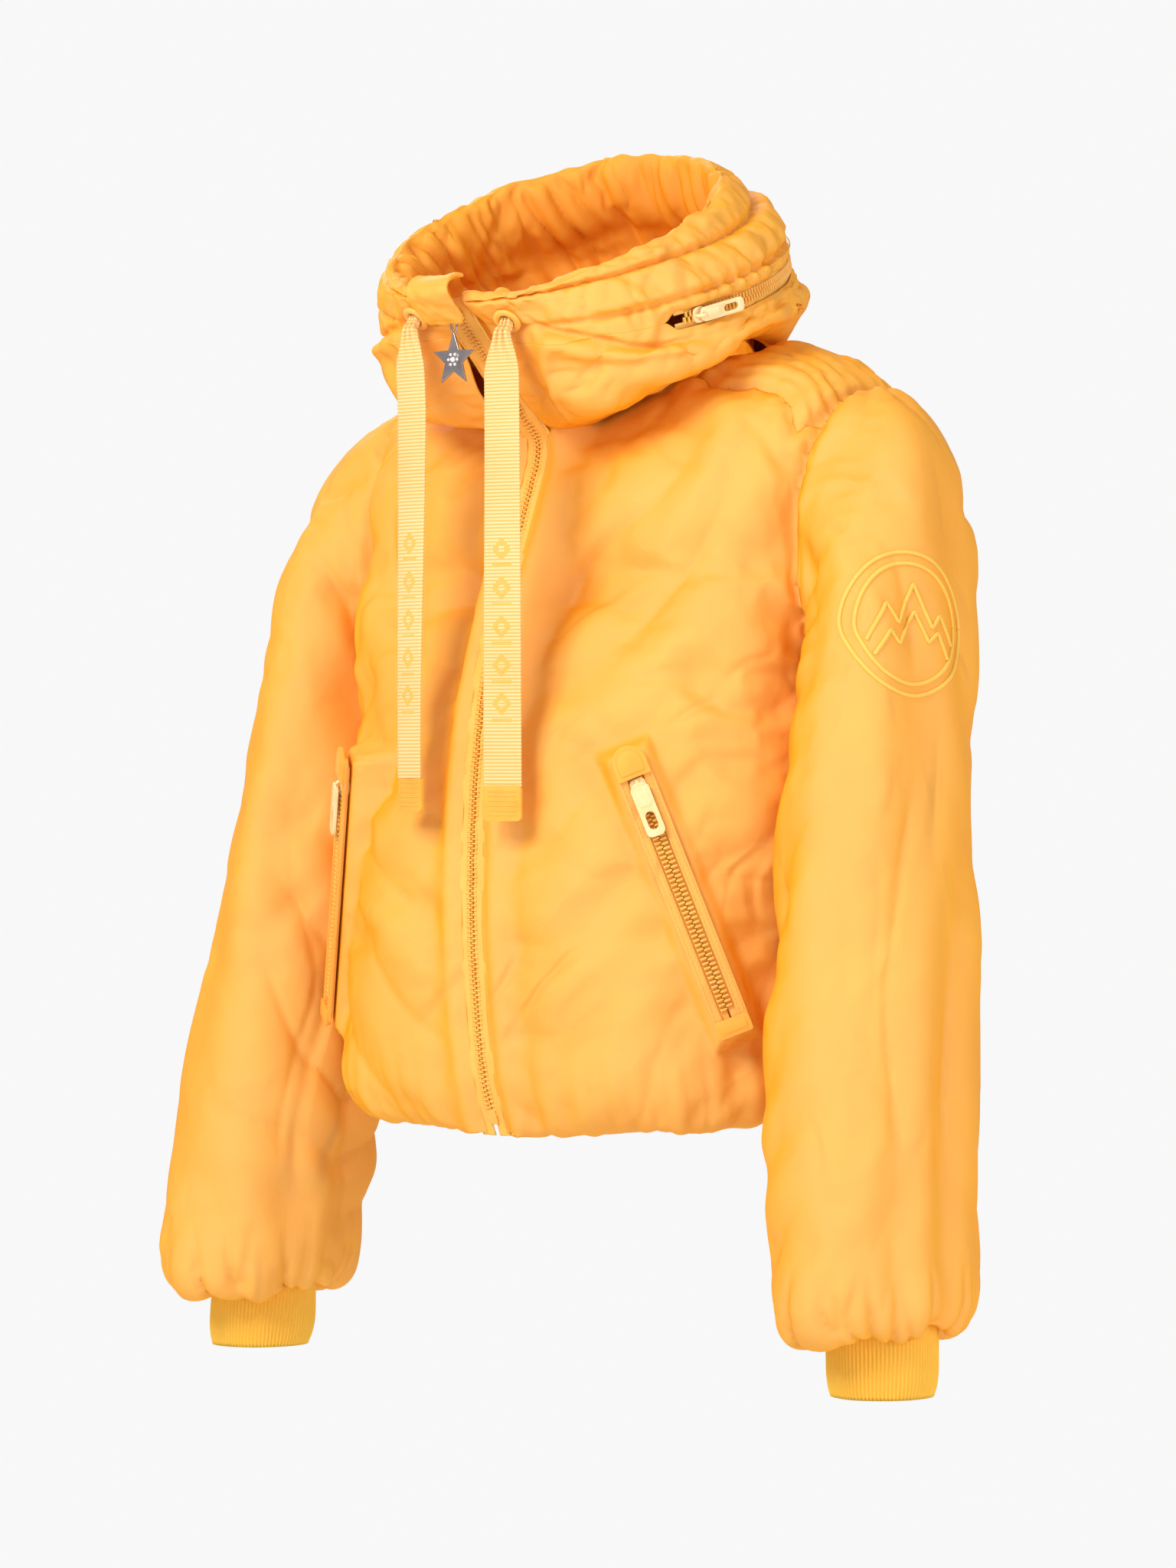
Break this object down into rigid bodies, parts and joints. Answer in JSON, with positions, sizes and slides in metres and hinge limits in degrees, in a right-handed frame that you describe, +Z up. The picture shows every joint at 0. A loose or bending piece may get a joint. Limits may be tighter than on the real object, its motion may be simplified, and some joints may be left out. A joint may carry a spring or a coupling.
{
  "type": "padded jacket",
  "caption": "Cropped padded jacket with a tall funnel collar, rib cuffs, zipped slanted pockets, a front zip with a star puller and ribbon drawcords.",
  "frame": {"origin": "hanging point: the middle of the underside of the hanging loop's top run, 0.511 m above the hem", "axes": "+Z up the body, the front faces -Y, +X towards the wearer's left"},
  "size_m": [0.617, 0.3406, 0.7963],
  "materials": {
    "body_shell": "satin woven nylon, golden orange",
    "wadding": "polyester wadding, off-white",
    "lining": "smooth taffeta, golden orange",
    "rib_knit": "rib knit, golden orange",
    "zip_tape": "woven zip tape, light golden orange",
    "ribbon": "grosgrain ribbon, cream yellow",
    "zip_teeth": "moulded, golden orange",
    "zip_pull": "lacquered, cream",
    "soft_trim": "soft matt, golden orange",
    "eyelet": "satin lacquer, golden orange",
    "star": "polished gunmetal",
    "stone": "clear cut stones"
  },
  "bodies": {
    "jacket": {"front_left_shell": "body_shell", "front_right_shell": "body_shell", "back_shell": "body_shell", "yoke_left": "body_shell", "yoke_right": "body_shell", "collar_lower": "body_shell", "collar_upper": "body_shell", "pocket_welt_left": "body_shell", "pocket_welt_right": "body_shell", "front_left_padding": "wadding", "front_right_padding": "wadding", "back_padding": "wadding", "packed_hood": "wadding", "front_left_lining": "lining", "front_right_lining": "lining", "back_lining": "lining", "collar_lining": "lining", "pocket_bag_left": "lining", "pocket_bag_right": "lining", "hem_elastic": "rib_knit", "hanger_loop": "rib_knit", "zip_tape_left": "zip_tape", "zip_tape_right": "zip_tape", "pocket_tape_left": "zip_tape", "pocket_tape_right": "zip_tape", "zip_teeth_left": "zip_teeth", "zip_teeth_right": "zip_teeth", "zip_bottom_box": "zip_teeth", "collar_teeth_upper": "zip_teeth", "collar_teeth_lower": "zip_teeth", "pocket_teeth_left": "zip_teeth", "pocket_teeth_right": "zip_teeth", "pocket_garage_left": "soft_trim", "pocket_garage_right": "soft_trim", "pocket_end_stop_left": "soft_trim", "pocket_end_stop_right": "soft_trim", "eyelet_left": "eyelet", "eyelet_right": "eyelet"},
    "sleeve_left": {"sleeve_shell_left": "body_shell", "sleeve_padding_left": "wadding", "sleeve_lining_left": "lining", "cuff_left": "rib_knit"},
    "sleeve_right": {"sleeve_shell_right": "body_shell", "sleeve_padding_right": "wadding", "sleeve_lining_right": "lining", "cuff_right": "rib_knit"},
    "front_slider": {"zip_slider": "zip_pull"},
    "front_puller": {"star_puller": "star", "puller_stones": "stone"},
    "zip_flap": {"zip_garage_flap": "body_shell"},
    "pocket_slider_l": {"pocket_slider_left": "zip_pull"},
    "pocket_slider_r": {"pocket_slider_right": "zip_pull"},
    "pocket_puller_l": {"pocket_puller_left": "zip_pull"},
    "pocket_puller_r": {"pocket_puller_right": "zip_pull"},
    "collar_slider_body": {"collar_slider": "zip_pull"},
    "collar_puller_body": {"collar_puller": "zip_pull"},
    "ribbon_left": {"drawcord_left": "ribbon", "drawcord_tip_left": "soft_trim"},
    "ribbon_right": {"drawcord_right": "ribbon", "drawcord_tip_right": "soft_trim"}
  },
  "joints": [
    {"name": "sleeve_left_swing", "type": "hinge", "parent": "jacket", "child": "sleeve_left", "pos_m": [0.198, -0.05, -0.048], "axis": [0, -1, 0], "range_deg": [0, 35]},
    {"name": "sleeve_right_swing", "type": "hinge", "parent": "jacket", "child": "sleeve_right", "pos_m": [-0.198, -0.05, -0.048], "axis": [0, 1, 0], "range_deg": [0, 35]},
    {"name": "front_zip_slide", "type": "slide", "parent": "jacket", "child": "front_slider", "axis": [0, 0.7185, -0.6955], "range_m": [0, 0.062]},
    {"name": "star_swing", "type": "hinge", "parent": "front_slider", "child": "front_puller", "pos_m": [0, -0.23122, 0.00205], "axis": [-1, 0, 0], "range_deg": [-25, 40]},
    {"name": "zip_flap_lift", "type": "hinge", "parent": "jacket", "child": "zip_flap", "pos_m": [0, -0.25123, 0.01502], "axis": [-1, 0, 0], "range_deg": [0, 70]},
    {"name": "pocket_zip_left", "type": "slide", "parent": "jacket", "child": "pocket_slider_l", "axis": [0.292, 0.2264, -0.9292], "range_m": [0, 0.136]},
    {"name": "pocket_zip_right", "type": "slide", "parent": "jacket", "child": "pocket_slider_r", "axis": [-0.292, 0.2264, -0.9292], "range_m": [0, 0.136]},
    {"name": "pocket_pull_left", "type": "hinge", "parent": "pocket_slider_l", "child": "pocket_puller_l", "pos_m": [0.12685, -0.20176, -0.29404], "axis": [-0.7343, -0.5695, -0.3695], "range_deg": [0, 100]},
    {"name": "pocket_pull_right", "type": "hinge", "parent": "pocket_slider_r", "child": "pocket_puller_r", "pos_m": [-0.12685, -0.20176, -0.29404], "axis": [-0.7343, 0.5695, 0.3695], "range_deg": [0, 100]},
    {"name": "collar_zip_run", "type": "hinge", "parent": "jacket", "child": "collar_slider_body", "pos_m": [0, -0.1015, 0.026], "axis": [0.066, -0.3254, 0.9433], "range_deg": [0, 216]},
    {"name": "collar_pull", "type": "hinge", "parent": "collar_slider_body", "child": "collar_puller_body", "pos_m": [0.13073, -0.14314, 0.00248], "axis": [-0.066, 0.3254, -0.9433], "range_deg": [0, 100]},
    {"name": "ribbon_left_swing", "type": "hinge", "parent": "jacket", "child": "ribbon_left", "pos_m": [0.03863, -0.22886, -0.00168], "axis": [-1, 0, 0], "range_deg": [0, 55]},
    {"name": "ribbon_right_swing", "type": "hinge", "parent": "jacket", "child": "ribbon_right", "pos_m": [-0.03863, -0.22886, 0.00391], "axis": [-1, 0, 0], "range_deg": [0, 55]}
  ]
}
